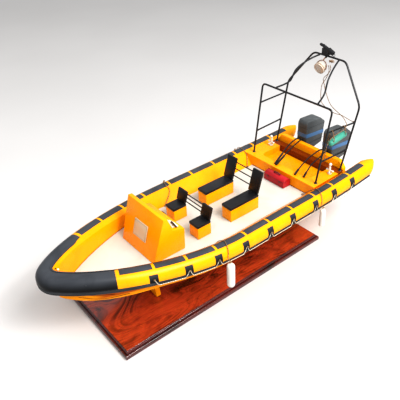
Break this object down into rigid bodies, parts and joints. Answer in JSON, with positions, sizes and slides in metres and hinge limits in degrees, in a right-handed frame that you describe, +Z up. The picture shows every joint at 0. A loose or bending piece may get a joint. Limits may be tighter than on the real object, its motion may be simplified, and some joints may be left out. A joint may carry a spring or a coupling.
{
  "type": "inflatable boat model",
  "caption": "Display model of a rigid inflatable boat with twin outboards, console, seats, rod arch and fenders, held by two cradles on a wooden plinth.",
  "frame": {"origin": "middle of the plinth's underside", "axes": "+X to the bow, +Y to port, +Z up"},
  "size_m": [0.5219, 0.221, 0.2685],
  "materials": {
    "yellow": "glossy yellow paint",
    "cream": "satin cream paint",
    "black": "satin black paint",
    "grey": "satin dark grey",
    "white": "satin white",
    "rod": "black enamel",
    "wood": "varnished red-brown",
    "red": "glossy red paint",
    "teal": "satin green",
    "cord": "twisted light brown thread",
    "brass": "polished"
  },
  "bodies": {
    "model": {"aft_deck": "yellow", "arch_brace_port": "rod", "arch_brace_starboard": "rod", "arch_hoop_front": "rod", "arch_hoop_rear": "rod", "arch_rung_high_port": "rod", "arch_rung_high_starboard": "rod", "arch_rung_low_port": "rod", "arch_rung_low_starboard": "rod", "bitt_port": "white", "bitt_starboard": "white", "console": "yellow", "console_window": "white", "control_cable_port_inner": "black", "control_cable_port_outer": "black", "control_cable_starboard_inner": "black", "control_cable_starboard_outer": "black", "control_levers": "white", "cradle_front": "yellow", "cradle_rear": "yellow", "deck": "cream", "fender_lanyard_port_aft": "cord", "fender_lanyard_port_front": "cord", "fender_lanyard_starboard_aft": "cord", "fender_lanyard_starboard_front": "cord", "fender_port_aft": "white", "fender_port_front": "white", "fender_starboard_aft": "white", "fender_starboard_front": "white", "horn": "black", "hull": "yellow", "lifeline_port": "cord", "lifeline_starboard": "cord", "light_cord_long": "cord", "light_cord_tied": "cord", "light_yoke": "rod", "marker_float": "teal", "outboard_cowl_port": "grey", "outboard_cowl_starboard": "grey", "outboard_leg_port": "grey", "outboard_leg_starboard": "grey", "plinth": "wood", "rub_strake": "grey", "searchlight": "white", "seat_backs_front": "black", "seat_backs_rear": "black", "seat_front_port_box": "yellow", "seat_front_port_pad": "black", "seat_front_starboard_box": "yellow", "seat_front_starboard_pad": "black", "seat_rear_port_box": "yellow", "seat_rear_port_pad": "black", "seat_rear_starboard_box": "yellow", "seat_rear_starboard_pad": "black", "toolbox": "red", "transom": "yellow", "tube_collar": "yellow"},
    "steering_wheel": {"steering_wheel": "rod"},
    "propeller_port": {"propeller_port": "brass"},
    "propeller_starboard": {"propeller_starboard": "brass"}
  },
  "joints": [
    {"name": "steering_turn", "type": "hinge", "parent": "model", "child": "steering_wheel", "pos_m": [0.04364, -0.012, 0.10595], "axis": [-0.9397, 0, 0.342], "continuous": true},
    {"name": "propeller_port_spin", "type": "hinge", "parent": "model", "child": "propeller_port", "pos_m": [-0.2755, 0.0261, 0.045], "axis": [1, 0, 0], "continuous": true},
    {"name": "propeller_starboard_spin", "type": "hinge", "parent": "model", "child": "propeller_starboard", "pos_m": [-0.2755, -0.0261, 0.045], "axis": [1, 0, 0], "continuous": true}
  ]
}
